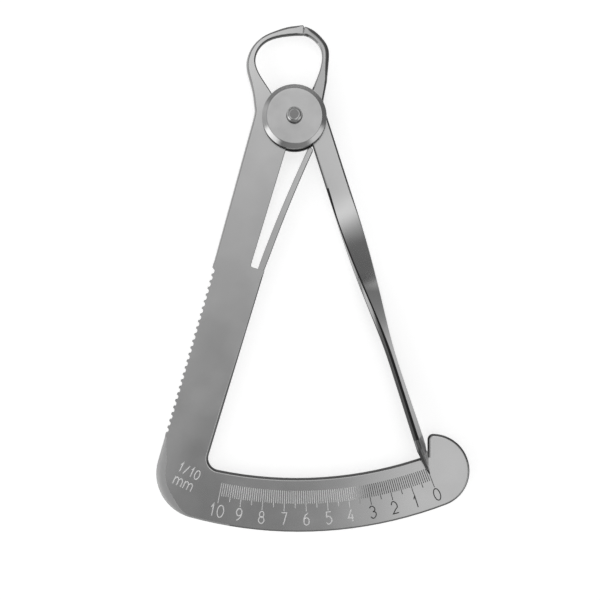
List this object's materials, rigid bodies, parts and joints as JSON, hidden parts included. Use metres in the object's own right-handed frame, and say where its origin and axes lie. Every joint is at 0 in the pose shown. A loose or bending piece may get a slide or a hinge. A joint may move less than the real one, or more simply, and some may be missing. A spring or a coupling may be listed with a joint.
{
  "type": "dental wax caliper",
  "caption": "Flat steel spring caliper: curved jaws over a disc pivot, serrated limb and a pointer arm on a graduated arc reading jaw opening in tenths of a millimetre.",
  "frame": {"origin": "on the pivot axis, at the back face of the rear disc, on which the caliper lies", "axes": "+Z is the pivot axis, towards the engraved face; +Y runs from the pivot to the jaws; -Y runs to the graduated arc; +X is towards the arc's end tab"},
  "size_m": [0.0652, 0.1053, 0.0062],
  "materials": {
    "plate_steel": "satin",
    "disc_steel": "polished",
    "washer_steel": "satin",
    "pin_steel": "polished"
  },
  "bodies": {
    "frame": {"frame_plate": "plate_steel", "front_disc": "disc_steel", "rear_disc": "disc_steel", "front_washer": "washer_steel", "rear_washer": "washer_steel", "pivot_pin": "pin_steel"},
    "arm": {"moving_arm": "plate_steel"},
    "leaf": {"leaf_spring": "plate_steel"}
  },
  "joints": [
    {"name": "arm_pivot", "type": "hinge", "parent": "frame", "child": "arm", "pos_m": [0, 0, 0.00245], "axis": [0, 0, -1], "range_deg": [0, 32], "stiffness_Nm_per_rad": 0.08, "springref_deg": -20.05},
    {"name": "leaf_flex", "type": "hinge", "parent": "frame", "child": "leaf", "pos_m": [-0.00696, -0.03154, 0.00245], "axis": [0, 0, 1], "range_deg": [0, 8.7]}
  ],
  "couplings": [
    {"joint": "leaf_flex", "follows": "arm_pivot", "ratio": 0.27}
  ]
}
